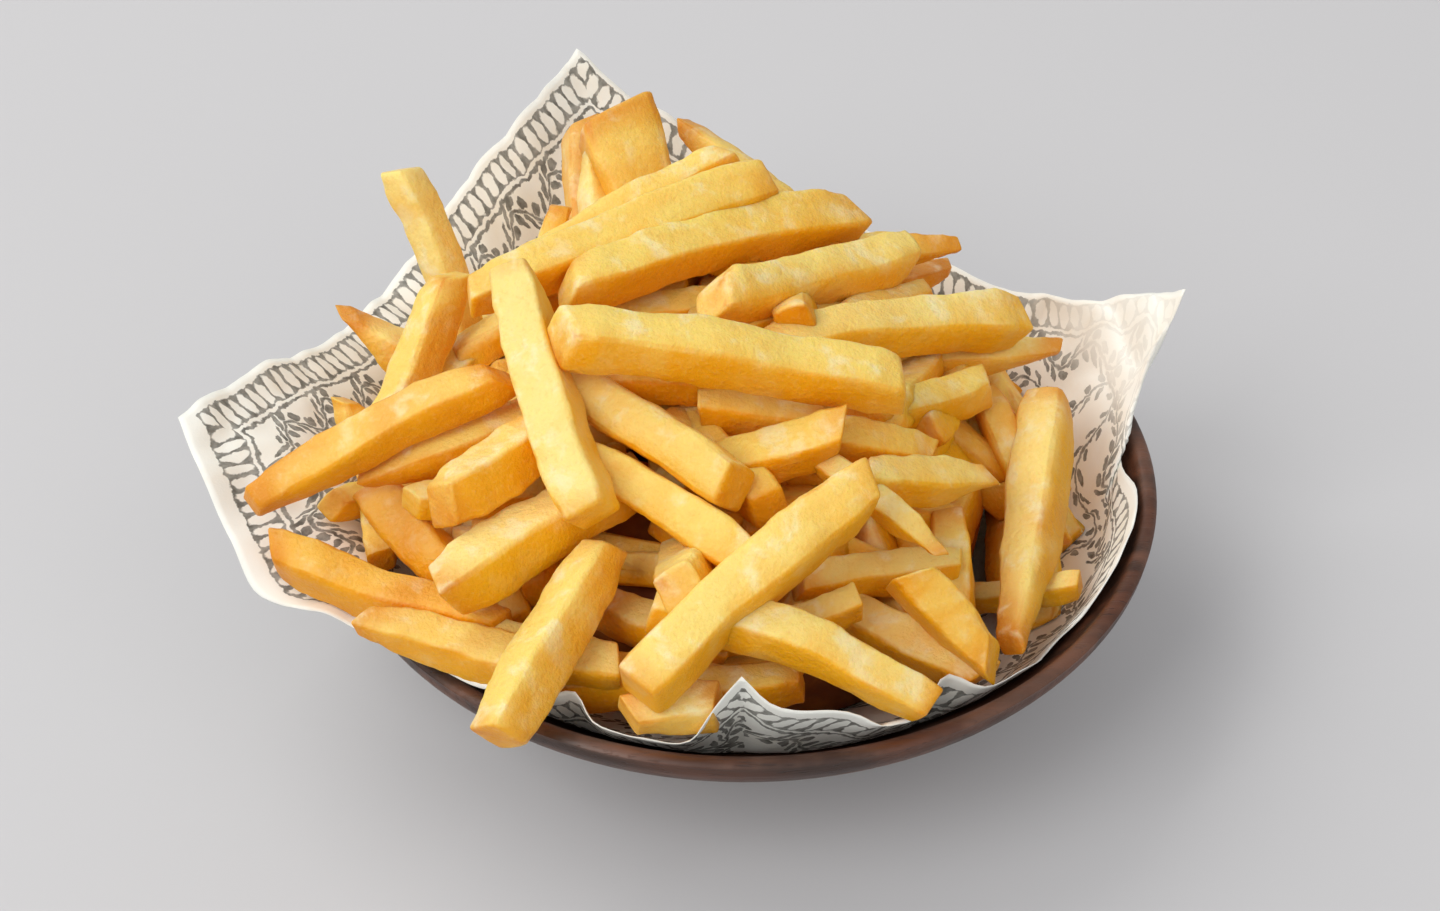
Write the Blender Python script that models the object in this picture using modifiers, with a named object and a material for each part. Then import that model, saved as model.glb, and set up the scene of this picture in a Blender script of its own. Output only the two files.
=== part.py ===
"""A portion of french fries, heaped in a paper-lined turned wooden bowl.

Metres, +Z up. The origin is the middle of the bowl's flat foot, and -Y is the front of the serving.
Named sizes and the tables of places are in millimetres.
"""
import math
import random

import bmesh
import bpy
from mathutils import Matrix, Vector

MM = 0.001

# Bowl: radii and heights above the table, down the outside and up the inside of the wall.
RIM_HEIGHT = 41.0
OUTER_WALL = [(80.0, 40.2), (79.2, 37.0), (76.0, 33.0), (68.0, 26.5), (58.0, 19.0), (48.0, 11.0),
              (40.0, 4.5), (35.5, 0.6)]
INNER_WALL = [(0.0, 6.0), (16.0, 6.4), (30.0, 7.6), (42.0, 13.0), (54.0, 21.5), (66.0, 29.5),
              (74.5, 37.0), (77.0, 40.4)]
FOOT_RADIUS = 35.0
LIP_CROWN = 78.6
WALL_STEPS = 2
BOWL_SEGMENTS = 48

# Paper: a square sheet, pressed into the bowl. Its four corners stand up as wings past the lip.
SHEET_SIDE = 170.0
SHEET_CELLS = 22
SHEET_THICKNESS = 0.5
PIECE_GAP = 0.35            # kept between the paper and the fries
PAPER_CLEARANCE = 1.05      # from the bowl's inner wall up to the middle of the paper
LIP_PASS_RADIUS = 75.8      # where a wing crosses the lip, and how high above it
LIP_PASS_RISE = 1.6
LIP_OUTER_RADIUS = 81.5

# The edge of the sheet, one list a side, from corner to corner, counter-clockwise seen from above.
# Each point: angle round the bowl in degrees, distance from the axis, height over the lip.
SHEET_EDGE = [
    [(14, 88, 28), (19, 86, 23), (26, 81, 16), (34, 77.5, 10), (44, 76, 5), (55, 76.5, 3),
     (70, 78, 5), (86, 81, 12), (98, 86, 22), (106, 91, 30), (111, 98, 38)],
    [(111, 98, 38), (120, 91, 31), (130, 90, 20), (143, 88, 9), (153, 87, 8), (163, 88, 11),
     (174, 96, 16), (184, 107, 19)],
    [(184, 107, 19), (191, 103, 14), (198, 100, 9), (204, 98, 4), (208, 92, 2.5), (214, 85, 2.5),
     (222, 81, 2.5), (232, 78, 1.6), (241, 74, 2), (246, 73, 5), (250, 76, 1.6), (257, 76.5, 1.2),
     (263, 76, 1.5), (266, 75, 8), (270, 73, 15)],
    [(270, 73, 15), (275, 75, 9), (284, 76, 7), (289, 77, 3), (295, 76.5, 2), (301, 71, 4),
     (306, 75, 1), (315, 74.5, -1.5), (322, 72.5, -4), (329, 73, -4), (336, 74.5, -1.5),
     (347, 76, 1.5), (356, 76, 1.5), (363, 74, -1), (371, 76.5, 2), (373, 82, 14), (374, 88, 28)],
]

# Fries: tail and tip in millimetres, x and y from the bowl's axis and z from its lip, then the
# thickness and the roll about the fry's own length in degrees.
FRIES = [
    # the crown of the heap
    ((-42, -4, 50), (-27, -48, 30), 10.0, 30),
    ((-33, -21, 50), (29, -19, 37), 10.5, 10),
    ((-51, 0, 42), (4, 34, 45), 9.5, 20),
    ((-47, 11, 37), (-3, 40, 47), 8.0, 20),
    ((-33, 0, 44), (21, 37, 35), 10.0, 20),
    ((-6, -2, 43), (31, 29, 31), 9.5, 20),
    ((-1, 0, 34), (27, 30, 21), 8.0, 15),
    ((-30, 7, 32), (2, 12, 33), 8.0, 10),
    ((4, -6, 34), (53, 22, 20), 10.0, 15),
    ((17, 10, 21), (62, 26, 10), 8.0, 15),
    ((18, 9, 30), (36, 29, 22), 8.0, 15),
    # the back
    ((-10, 19, 24), (-24, 52, 49), 11.0, 10),
    ((-31, 30, 14), (-33, 61, 40), 9.0, 10),
    ((-28, 17, 28), (-30, 47, 52), 7.0, 30),
    ((-45, 9, 24), (-35, 27, 44), 6.0, 30),
    ((17, 30, 30), (-13, 64, 36), 8.0, 20),
    ((-1, 30, 28), (42, 43, 23), 8.0, 15),
    ((5, 29, 20), (41, 44, 16), 8.0, 10),
    # the left
    ((-52, 15, 1), (-67, 39, 44), 8.5, 20),
    ((-56, 18, 34), (-69, -8, 10), 9.5, 25),
    ((-40, 9, 4), (-78, 16, 24), 9.0, 10),
    ((-90, -30, 17), (-44, -18, 38), 10.5, 15),
    ((-69, -24, 18), (-34, -17, 29), 9.0, 10),
    ((-36, -26, 33), (-54, -42, 27), 10.0, 20),
    ((-70, -14, 9), (-67, -31, 4), 8.0, 10),
    ((-70, -19, 12), (-52, -40, 6), 10.0, 35),
    ((-61, -31, 18), (-38, -25, 16), 7.0, 10),
    ((-77, -22, 10), (-60, -8, 5), 7.0, 10),
    ((-72, -6, 6), (-76, 1, 17), 6.0, 10),
    ((-86, -36, 11), (-43, -52, 7), 10.0, 10),
    # the front
    ((-19, -28, 22), (-53, -54, 17), 11.0, 10),
    ((-68, -53, 9), (-35, -61, 5), 9.0, 10),
    ((-25, -45, 21), (-43, -79, 6), 10.5, 30),
    ((-36, -14, 37), (-1, -41, 31), 10.0, 40),
    ((-28, -32, 30), (-1, -51, 23), 9.5, 40),
    ((-26, -15, 34), (-2, -14, 33), 8.0, 10),
    ((-21, 9, 23), (5, -39, 24), 10.0, 20),
    ((-8, -18, 31), (14, -17, 27), 9.0, 15),
    ((-8, -30, 24), (18, -28, 34), 10.0, 15),
    ((-10, -42, 13), (-12, -66, 23), 10.0, 30),
    ((-21, -77, 9), (22, -43, 33), 10.5, 20),
    ((-26, -44, 5), (-3, -54, 4), 9.0, 10),
    ((-48, -53, 5), (-22, -59, 4), 9.0, 10),
    ((-15, -74, 5), (1, -62, 8), 7.0, 10),
    ((-16, -56, 16), (33, -72, 7), 10.5, 15),
    ((-13, -63, 2), (11, -60, 1), 8.0, 10),
    # the right
    ((12, -23, 30), (35, -19, 20), 9.0, 20),
    ((22, -33, 26), (45, -22, 17), 8.5, 20),
    ((14, -29, 28), (35, -45, 18), 6.0, 20),
    ((21, -15, 26), (47, 6, 17), 9.5, 15),
    ((47, 11, 11), (60, -17, -2), 8.0, 15),
    ((59, 7, 12), (50, -50, 0), 11.0, 30),
    ((27, -46, 18), (45, -59, 6), 11.0, 30),
    ((8, -50, 12), (37, -42, 10), 9.0, 15),
    ((-4, -52, 8), (21, -47, 12), 8.0, 15),
    ((3, -34, 5), (44, -57, 0), 9.5, 15),
    ((47, 15, 3), (38, -21, -1), 10.0, 10),
    ((38, -24, 9), (39, -50, -4), 9.0, 10),
    ((40, -26, -10), (63, -32, 0), 6.0, 10),
]

# The far slope of the heap is filled by loose fries, drawn with a fixed seed.
BACK_TRIES = 1200
BACK_SEED = 11
BACK_SPACING = 0.55         # of a fry's thickness, between the middle lines of two fries
BACK_LIFT = 0.35            # of a fry's thickness, from the mound up to its middle line
BACK_REACH = 70.0
BACK_ANGLES = (0, 170)
BACK_LENGTHS = (34, 56)
BACK_WIDTHS = (8.5, 10.5)

# Mound: what the fries lie on, up to just under them.
MOUND_PEAK = Vector((-11.0, 8.0, 35.0))
MOUND_CENTRE = Vector((-3.0, 1.5))
MOUND_RADIUS = 64.0
MOUND_EDGE_RISE = -4.0      # over the lip at the bowl's axis, and its slope down to the right
MOUND_EDGE_SLOPE = -0.10
MOUND_POWER = 1.5
MOUND_SEGMENTS = 28
MOUND_RINGS = 14
HEAP_CLEARANCE = 2.1        # from the bowl's inner wall up to the underside of the heap


def smooth_points(points, steps):
    """A Catmull-Rom curve through points, with steps pieces between each pair."""
    points = [Vector(p) for p in points]
    ends = [2 * points[0] - points[1]] + points + [2 * points[-1] - points[-2]]
    curve = []
    for a, b, c, d in zip(ends, ends[1:], ends[2:], ends[3:]):
        for step in range(steps):
            t = step / steps
            curve.append(0.5 * (2 * b + (c - a) * t + (2 * a - 5 * b + 4 * c - d) * t ** 2
                                + (3 * b - a - 3 * c + d) * t ** 3))
    return curve + [points[-1]]


def along(points, fraction):
    """The point at a fraction of the length of a polyline."""
    lengths = [(b - a).length for a, b in zip(points, points[1:])]
    left = fraction * sum(lengths)
    for a, b, length in zip(points, points[1:], lengths):
        if left <= length:
            return a.lerp(b, left / length)
        left -= length
    return points[-1].copy()


def interpolate(x, table):
    """The height at x in a table of (x, height) pairs that rises in x."""
    for (x0, y0), (x1, y1) in zip(table, table[1:]):
        if x <= x1:
            return y0 + (y1 - y0) * (x - x0) / (x1 - x0)
    return table[-1][1]


def material(name, colour, roughness):
    """A Principled material of one colour."""
    made = bpy.data.materials.new(name)
    made.use_nodes = True
    shader = made.node_tree.nodes["Principled BSDF"]
    shader.inputs["Base Color"].default_value = (*colour, 1)
    shader.inputs["Roughness"].default_value = roughness
    shader.inputs["Metallic"].default_value = 0.0
    return made


def mesh_object(name, mesh, collection, finish=None):
    """A new object with this mesh, in this collection."""
    made = bpy.data.objects.new(name, mesh)
    collection.objects.link(made)
    if finish:
        mesh.materials.append(finish)
    return made


def apply_modifiers(target):
    """Replace an object's mesh by the mesh that its modifiers make."""
    graph = bpy.context.evaluated_depsgraph_get()
    done = bpy.data.meshes.new_from_object(target.evaluated_get(graph))
    target.modifiers.clear()
    target.data = done


INNER_CURVE = smooth_points(INNER_WALL, WALL_STEPS)


def wall_height(radius):
    """Height of the bowl's inner wall over the table at this radius."""
    return interpolate(radius, INNER_CURVE)


def make_bowl(collection):
    """The turned bowl: a closed profile from the axis over the lip to the axis, swept round."""
    profile = INNER_CURVE + [Vector((LIP_CROWN, RIM_HEIGHT))] + smooth_points(OUTER_WALL, WALL_STEPS)
    profile += [Vector((FOOT_RADIUS, 0.0)), Vector((0.0, 0.0))]
    mesh = bpy.data.meshes.new("bowl")
    corners = [(p.x * MM, 0.0, p.y * MM) for p in profile]
    mesh.from_pydata(corners, [(i, i + 1) for i in range(len(corners) - 1)], [])
    bowl = mesh_object("bowl", mesh, collection, material("bowl_wood", (0.075, 0.040, 0.030), 0.5))
    screw = bowl.modifiers.new("turn", "SCREW")
    screw.steps = BOWL_SEGMENTS
    screw.render_steps = BOWL_SEGMENTS
    screw.use_merge_vertices = True
    screw.merge_threshold = 0.00001
    apply_modifiers(bowl)
    bowl.data.shade_smooth()
    bowl.data.set_sharp_from_angle(angle=math.radians(40))
    return bowl


def edge_curve(side):
    """One side of the sheet in space, from corner to corner, from its table of places."""
    points = [Vector((r * math.cos(math.radians(a)), r * math.sin(math.radians(a)), z))
              for a, r, z in SHEET_EDGE[side]]
    return smooth_points(points, 4)


EDGE_CURVES = [edge_curve(side) for side in range(4)]


def sheet_path(side, fraction):
    """The paper's way from the bowl's middle up the wall and out to one point of its edge."""
    end = along(EDGE_CURVES[side], fraction)
    reach = math.hypot(end.x, end.y)
    first, last = SHEET_EDGE[side][0][0], SHEET_EDGE[side][-1][0]
    wall_angle = math.radians(first + (last - first) * fraction)
    end_angle = math.atan2(end.y, end.x)
    turn = (end_angle - wall_angle + math.pi) % (2 * math.pi) - math.pi
    leave = min(70.0 - 0.35 * max(end.z, 0.0), reach - 4.0)
    radii = [r for r in (0.0, 14.0, 28.0, 36.0, 44.0, 52.0, 58.0, 64.0) if r < leave - 3.0] + [leave]
    stops = [(r, wall_height(r) - RIM_HEIGHT + PAPER_CLEARANCE, 0.0) for r in radii]
    if reach > LIP_PASS_RADIUS + 1.0:
        lift = LIP_PASS_RISE + 0.12 * max(end.z, 0.0)
        stops.append((LIP_PASS_RADIUS, lift, 0.6))
    stops.append((reach, end.z, 1.0))
    path = []
    for radius, rise, share in stops:
        angle = wall_angle + turn * share
        path.append(Vector((radius * math.cos(angle), radius * math.sin(angle), rise)))
    return smooth_points(path, 3)


def clear_of_bowl(point):
    """Lift a point of the paper that would touch the bowl's wall or its lip."""
    radius = math.hypot(point.x, point.y)
    if radius < LIP_PASS_RADIUS:
        floor = wall_height(radius) - RIM_HEIGHT + PAPER_CLEARANCE
    elif radius < LIP_OUTER_RADIUS:
        floor = PAPER_CLEARANCE
    else:
        return point
    return Vector((point.x, point.y, max(point.z, floor)))


def press_sheet(x, y):
    """Where a point of the flat sheet lies once the sheet is pressed into the bowl."""
    half = SHEET_SIDE / 2
    share = max(abs(x), abs(y)) / half
    if share < 1e-6:
        return Vector((0.0, 0.0, wall_height(0.0) - RIM_HEIGHT + PAPER_CLEARANCE))
    edge_x, edge_y = x / share / half, y / share / half
    if edge_y >= 1.0 - 1e-6:
        side, fraction = 0, (1.0 - edge_x) / 2
    elif edge_x <= -1.0 + 1e-6:
        side, fraction = 1, (1.0 - edge_y) / 2
    elif edge_y <= -1.0 + 1e-6:
        side, fraction = 2, (1.0 + edge_x) / 2
    else:
        side, fraction = 3, (1.0 + edge_y) / 2
    return clear_of_bowl(along(sheet_path(side, fraction), share))


def make_sheet(name, thickness, collection, finish=None):
    """A flat square grid, pressed into the bowl and given a thickness."""
    mesh = bpy.data.meshes.new(name)
    grid = bmesh.new()
    bmesh.ops.create_grid(grid, x_segments=SHEET_CELLS, y_segments=SHEET_CELLS, size=SHEET_SIDE / 2)
    for vertex in grid.verts:
        place = press_sheet(vertex.co.x, vertex.co.y)
        vertex.co = (place + Vector((0, 0, RIM_HEIGHT))) * MM
    grid.to_mesh(mesh)
    grid.free()
    sheet = mesh_object(name, mesh, collection, finish)
    solid = sheet.modifiers.new("thickness", "SOLIDIFY")
    solid.thickness = thickness * MM
    solid.offset = 0.0
    apply_modifiers(sheet)
    sheet.data.shade_smooth()
    return sheet


def make_paper(collection):
    """The paper liner."""
    finish = material("liner_paper", (0.72, 0.68, 0.60), 0.8)
    return make_sheet("paper_liner", SHEET_THICKNESS, collection, finish)


def mound_edge(angle):
    """Distance from the mound's peak to its edge, in one direction over the bowl."""
    ray = Vector((math.cos(angle), math.sin(angle)))
    offset = MOUND_PEAK.to_2d() - MOUND_CENTRE
    across = offset.dot(ray)
    return -across + math.sqrt(across ** 2 + MOUND_RADIUS ** 2 - offset.length_squared)


def mound_height(x, y):
    """Height of the mound over the lip."""
    offset = Vector((x, y)) - MOUND_PEAK.to_2d()
    share = offset.length / mound_edge(math.atan2(offset.y, offset.x))
    low = MOUND_EDGE_RISE + MOUND_EDGE_SLOPE * x
    return low + (MOUND_PEAK.z - low) * (1 - min(share, 1.0) ** MOUND_POWER)


def make_mound(collection):
    """The closed body under the fries: a sphere, its top drawn to the mound, its bottom to the bowl."""
    mesh = bpy.data.meshes.new("mound")
    body = bmesh.new()
    bmesh.ops.create_uvsphere(body, u_segments=MOUND_SEGMENTS, v_segments=MOUND_RINGS, radius=1.0)
    for vertex in body.verts:
        out = math.hypot(vertex.co.x, vertex.co.y)
        angle = math.atan2(vertex.co.y, vertex.co.x)
        share = math.asin(min(out, 1.0)) / (math.pi / 2)
        if vertex.co.z > -0.01:
            reach = share * mound_edge(angle)
            place = MOUND_PEAK.to_2d() + reach * Vector((math.cos(angle), math.sin(angle)))
            rise = mound_height(place.x, place.y)
        else:
            edge = MOUND_PEAK.to_2d() + mound_edge(angle) * Vector((math.cos(angle), math.sin(angle)))
            place = edge * share
            rise = wall_height(place.length) - RIM_HEIGHT + HEAP_CLEARANCE
        vertex.co = Vector((place.x, place.y, rise + RIM_HEIGHT)) * MM
    body.to_mesh(mesh)
    body.free()
    return mesh_object("mound", mesh, collection)


def make_fry(name, tail, tip, width, roll, collection):
    """One fry: a square bar from tail to tip, a little slimmer at its tip."""
    tail, tip = Vector(tail), Vector(tip)
    length = (tip - tail).length
    mesh = bpy.data.meshes.new(name)
    bar = bmesh.new()
    bmesh.ops.create_cube(bar, size=1.0)
    for vertex in bar.verts:
        slim = 0.88 if vertex.co.z > 0 else 0.96
        vertex.co = Vector((vertex.co.x * width * slim, vertex.co.y * width * slim,
                            vertex.co.z * length))
    turn = (tip - tail).to_track_quat("Z", "X").to_matrix().to_4x4()
    middle = (tail + tip) / 2 + Vector((0, 0, RIM_HEIGHT))
    bar.transform(Matrix.Translation(middle) @ turn @ Matrix.Rotation(math.radians(roll), 4, "Z"))
    bar.transform(Matrix.Scale(MM, 4))
    bar.to_mesh(mesh)
    bar.free()
    return mesh_object(name, mesh, collection)


def gap_between(first, second):
    """Least distance between the middle lines of two fries, measured at points along both."""
    shares = [step / 4 for step in range(5)]
    ones = [Vector(first[0]).lerp(Vector(first[1]), s) for s in shares]
    others = [Vector(second[0]).lerp(Vector(second[1]), s) for s in shares]
    return min((a - b).length for a in ones for b in others)


def back_fries():
    """Loose fries on the far slope, each tried at seeded places until it lies clear of the others."""
    draw = random.Random(BACK_SEED)
    laid = list(FRIES)
    for _ in range(BACK_TRIES):
        angle = math.radians(draw.uniform(*BACK_ANGLES))
        reach = draw.uniform(0.4, 0.95) * mound_edge(angle)
        middle = MOUND_PEAK.to_2d() + reach * Vector((math.cos(angle), math.sin(angle)))
        heading = angle + math.radians(draw.uniform(20, 160))
        half = draw.uniform(*BACK_LENGTHS) / 2 * Vector((math.cos(heading), math.sin(heading)))
        width = draw.uniform(*BACK_WIDTHS)
        ends = (middle - half, middle + half)
        tilt = (mound_height(*ends[1]) - mound_height(*ends[0])) / 2
        rise = mound_height(*middle) + BACK_LIFT * width
        fry = (Vector((*ends[0], rise - tilt)), Vector((*ends[1], rise + tilt)), width,
               draw.uniform(0, 90))
        inside = all(end.length < BACK_REACH for end in ends)
        if inside and all(gap_between(fry, other) > BACK_SPACING * width for other in laid):
            laid.append(fry)
    return laid[len(FRIES):]


def keep_outer_body(target):
    """Remove any small sealed hollow that the join left inside."""
    shape = bmesh.new()
    shape.from_mesh(target.data)
    left = set(shape.verts)
    bodies = []
    while left:
        reached, border = set(), [left.pop()]
        while border:
            vertex = border.pop()
            reached.add(vertex)
            for edge in vertex.link_edges:
                other = edge.other_vert(vertex)
                if other in left:
                    left.remove(other)
                    border.append(other)
        bodies.append(reached)
    bodies.sort(key=len)
    for body in bodies[:-1]:
        bmesh.ops.delete(shape, geom=list(body), context="VERTS")
    shape.to_mesh(target.data)
    shape.free()


def make_heap(collection, cutters):
    """The heap as one body: the mound joined with every fry, and trimmed to lie on the paper."""
    heap = make_mound(collection)
    heap.name = "fries_heap"
    bars = bpy.data.collections.new("bars")
    cutters.children.link(bars)
    for number, (tail, tip, width, roll) in enumerate(FRIES + back_fries()):
        bar = make_fry(f"bar_{number:02d}", tail, tip, width, roll, bars)
        bar.hide_render = True
        bar.display_type = "WIRE"
    join = heap.modifiers.new("join", "BOOLEAN")
    join.operation = "UNION"
    join.solver = "EXACT"
    join.operand_type = "COLLECTION"
    join.collection = bars
    room = make_sheet("paper_room", SHEET_THICKNESS + 2 * PIECE_GAP, cutters)
    room.hide_render = True
    room.display_type = "WIRE"
    trim = heap.modifiers.new("trim", "BOOLEAN")
    trim.operation = "DIFFERENCE"
    trim.solver = "EXACT"
    trim.object = room
    apply_modifiers(heap)
    keep_outer_body(heap)
    heap.data.materials.clear()
    heap.data.materials.append(material("fried_potato", (0.80, 0.47, 0.12), 0.45))
    return heap


def main():
    for old in list(bpy.data.objects):
        bpy.data.objects.remove(old, do_unlink=True)
    parts = bpy.data.collections.new("french_fries_portion")
    cutters = bpy.data.collections.new("cutters")
    bpy.context.scene.collection.children.link(parts)
    bpy.context.scene.collection.children.link(cutters)
    make_bowl(parts)
    make_paper(parts)
    make_heap(parts, cutters)


main()
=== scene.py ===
# %% [markdown]
# # A portion of french fries, step by step
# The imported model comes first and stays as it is. It holds a turned bowl, a paper liner pressed into it and
# one solid for the heap. Everything made here is laid into the room that those three take, so each place
# below is in the same millimetres, from the middle of the bowl's foot.

# %% The frame
import math
import random

import bpy
from mathutils import Matrix, Vector, noise


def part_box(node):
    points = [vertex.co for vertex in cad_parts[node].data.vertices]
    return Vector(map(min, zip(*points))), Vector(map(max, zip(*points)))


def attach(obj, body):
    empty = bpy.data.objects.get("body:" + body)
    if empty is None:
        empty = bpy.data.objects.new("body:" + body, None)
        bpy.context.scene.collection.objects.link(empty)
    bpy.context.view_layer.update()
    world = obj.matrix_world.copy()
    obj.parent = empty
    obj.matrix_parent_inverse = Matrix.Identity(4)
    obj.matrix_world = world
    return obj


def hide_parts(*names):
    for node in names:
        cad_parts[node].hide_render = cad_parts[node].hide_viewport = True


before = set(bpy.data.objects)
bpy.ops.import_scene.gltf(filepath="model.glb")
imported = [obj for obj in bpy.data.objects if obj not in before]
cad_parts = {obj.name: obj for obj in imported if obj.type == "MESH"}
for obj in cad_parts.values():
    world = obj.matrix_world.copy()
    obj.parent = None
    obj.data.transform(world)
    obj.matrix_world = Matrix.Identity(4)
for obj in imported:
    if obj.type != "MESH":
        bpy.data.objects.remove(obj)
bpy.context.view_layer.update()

MM = 0.001
rim_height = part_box("bowl")[1].z / MM

# %% [markdown]
# ## Camera, floor and light
# The serving is seen from the front, forty degrees above the table, through a long lens, so the bowl's rim is
# an even ellipse. A camera that tracks an empty would do the same, but a rotation worked out once from the
# line of sight needs no constraint.

# %% Camera
CAMERA_ELEVATION = math.radians(40)
CAMERA_DISTANCE = 640 * MM
CAMERA_LENS = 82.45
AIM_RIGHT, AIM_UP = -4.46 * MM, 3.4 * MM

sight = Vector((0, math.cos(CAMERA_ELEVATION), -math.sin(CAMERA_ELEVATION)))
sight_up = Vector((0, math.sin(CAMERA_ELEVATION), math.cos(CAMERA_ELEVATION)))
rim_centre = Vector((0, 0, rim_height * MM))
camera_data = bpy.data.cameras.new("camera")
camera_data.lens = CAMERA_LENS
camera_data.clip_start = 0.01
camera = bpy.data.objects.new("camera", camera_data)
bpy.context.scene.collection.objects.link(camera)
camera.location = rim_centre - sight * CAMERA_DISTANCE
aim = rim_centre + Vector((AIM_RIGHT, 0, 0)) + sight_up * AIM_UP
camera.rotation_euler = (aim - camera.location).to_track_quat("-Z", "Y").to_euler()
bpy.context.scene.camera = camera
bpy.context.scene.view_settings.view_transform = "Standard"
print("camera at", [round(c, 3) for c in camera.location])


# %% Light
def area_light(name, place, target, size, power, colour):
    """A soft square light, turned to its target."""
    data = bpy.data.lights.new(name, "AREA")
    data.size = size
    data.energy = power
    data.color = colour
    light = bpy.data.objects.new(name, data)
    bpy.context.scene.collection.objects.link(light)
    light.location = place
    light.rotation_euler = (Vector(target) - Vector(place)).to_track_quat("-Z", "Y").to_euler()


area_light("key", (-1.3, 0.75, 1.75), (0, 0, 0.05), 1.8, 21.0, (1.0, 0.985, 0.96))
area_light("side", (-1.3, -1.3, 1.8), (0, 0, 0.03), 1.4, 27.0, (1.0, 0.99, 0.98))
area_light("front", (1.1, -1.5, 1.6), (0, 0, 0.03), 2.0, 8.0, (1.0, 0.99, 0.98))
world = bpy.data.worlds.new("studio")
world.use_nodes = True
world.node_tree.nodes["Background"].inputs["Color"].default_value = (0.97, 0.97, 1.0, 1)
world.node_tree.nodes["Background"].inputs["Strength"].default_value = 0.45
bpy.context.scene.world = world

# %% [markdown]
# ## Tools for materials
# The finishes below are built from a handful of nodes again and again. These helpers add a node and join it
# up in one line. What several finishes share is a node group: `cloudy` puts out a soft mask of blotches,
# which the wood, the paper and the potato each use at their own scale.


# %% Node helpers
def add_node(tree, kind, **settings):
    """A node of this kind, with its own settings, such as the operation of a Math node."""
    node = tree.nodes.new(kind)
    for key, value in settings.items():
        setattr(node, key, value)
    return node


def join(tree, node, socket, value):
    """Give an input a number or colour, or join another node's output to it."""
    if isinstance(value, bpy.types.NodeSocket):
        tree.links.new(value, node.inputs[socket])
    else:
        node.inputs[socket].default_value = value


def math_node(tree, operation, *values):
    """A Math node's output."""
    node = add_node(tree, "ShaderNodeMath", operation=operation)
    for index, value in enumerate(values):
        join(tree, node, index, value)
    return node.outputs[0]


def blend_colours(tree, share, first, second):
    """A colour between two others, by a share."""
    node = add_node(tree, "ShaderNodeMix", data_type="RGBA")
    join(tree, node, 0, share)
    join(tree, node, 6, first)
    join(tree, node, 7, second)
    return node.outputs[2]


def noise_node(tree, place, scale, detail=2.0, roughness=0.5, distortion=0.0):
    """A Noise texture's factor, at a place."""
    node = add_node(tree, "ShaderNodeTexNoise")
    join(tree, node, "Vector", place)
    join(tree, node, "Scale", scale)
    join(tree, node, "Detail", detail)
    join(tree, node, "Roughness", roughness)
    join(tree, node, "Distortion", distortion)
    return node.outputs[0]


def step_between(tree, value, low, high):
    """Nought below low and one above high, with a soft way between."""
    node = add_node(tree, "ShaderNodeMapRange", interpolation_type="SMOOTHSTEP")
    join(tree, node, 0, value)
    join(tree, node, 1, low)
    join(tree, node, 2, high)
    return node.outputs[0]


def new_group(name, inputs, outputs):
    """An empty shader node group with named sockets."""
    group = bpy.data.node_groups.new(name, "ShaderNodeTree")
    for label, kind, default in inputs:
        socket = group.interface.new_socket(label, in_out="INPUT", socket_type=kind)
        if default is not None:
            socket.default_value = default
    for label, kind in outputs:
        group.interface.new_socket(label, in_out="OUTPUT", socket_type=kind)
    return group, group.nodes.new("NodeGroupInput"), group.nodes.new("NodeGroupOutput")


def use_group(tree, group, **values):
    """A group placed in a material, with its own values."""
    node = tree.nodes.new("ShaderNodeGroup")
    node.node_tree = group
    for label, value in values.items():
        join(tree, node, label.replace("_", " "), value)
    return node


def new_material(name, roughness):
    """A Principled material. Returns it with its tree and its shader."""
    made = bpy.data.materials.new(name)
    made.use_nodes = True
    shader = made.node_tree.nodes["Principled BSDF"]
    shader.inputs["Roughness"].default_value = roughness
    return made, made.node_tree, shader


def object_place(tree):
    """The place in the model's own coordinates."""
    return add_node(tree, "ShaderNodeTexCoord").outputs["Object"]


def srgb(code):
    """A colour given as a hexadecimal number, as the shader wants it."""
    parts = [(code >> shift & 255) / 255 for shift in (16, 8, 0)]
    return (*[p / 12.92 if p <= 0.04045 else ((p + 0.055) / 1.055) ** 2.4 for p in parts], 1)


# %% A shared group: cloudy
cloudy, cloudy_in, cloudy_out = new_group(
    "cloudy",
    [("Vector", "NodeSocketVector", None), ("Scale", "NodeSocketFloat", 100.0),
     ("Low", "NodeSocketFloat", 0.4), ("High", "NodeSocketFloat", 0.65)],
    [("Mask", "NodeSocketFloat")])
cloud = noise_node(cloudy, cloudy_in.outputs["Vector"], cloudy_in.outputs["Scale"], 4.0, 0.55, 0.3)
join(cloudy, cloudy_out, "Mask",
     step_between(cloudy, cloud, cloudy_in.outputs["Low"], cloudy_in.outputs["High"]))
print("cloudy has", len(cloudy.nodes), "nodes")

# %% [markdown]
# ## Floor
# The real serving stands on a plain light surface. It is only the stage, so a single large plane is enough.

# %% Floor
bpy.ops.object.select_all(action="DESELECT")
bpy.ops.mesh.primitive_plane_add(size=6.0)
floor = bpy.context.object
floor.name = "floor"
floor_finish, tree, shader = new_material("floor_paint", 0.75)
shader.inputs["Base Color"].default_value = (0.55, 0.547, 0.552, 1)
shader.inputs["Emission Color"].default_value = (0.97, 0.965, 0.97, 1)
shader.inputs["Emission Strength"].default_value = 0.08
floor.data.materials.append(floor_finish)

# %% [markdown]
# ## Curves in code
# Four small functions do the drawing for the bowl's profile, the paper and the fries: a smooth curve through
# a few points, a line with its points spread evenly, the height at one place in a table, and a soft step.


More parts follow.
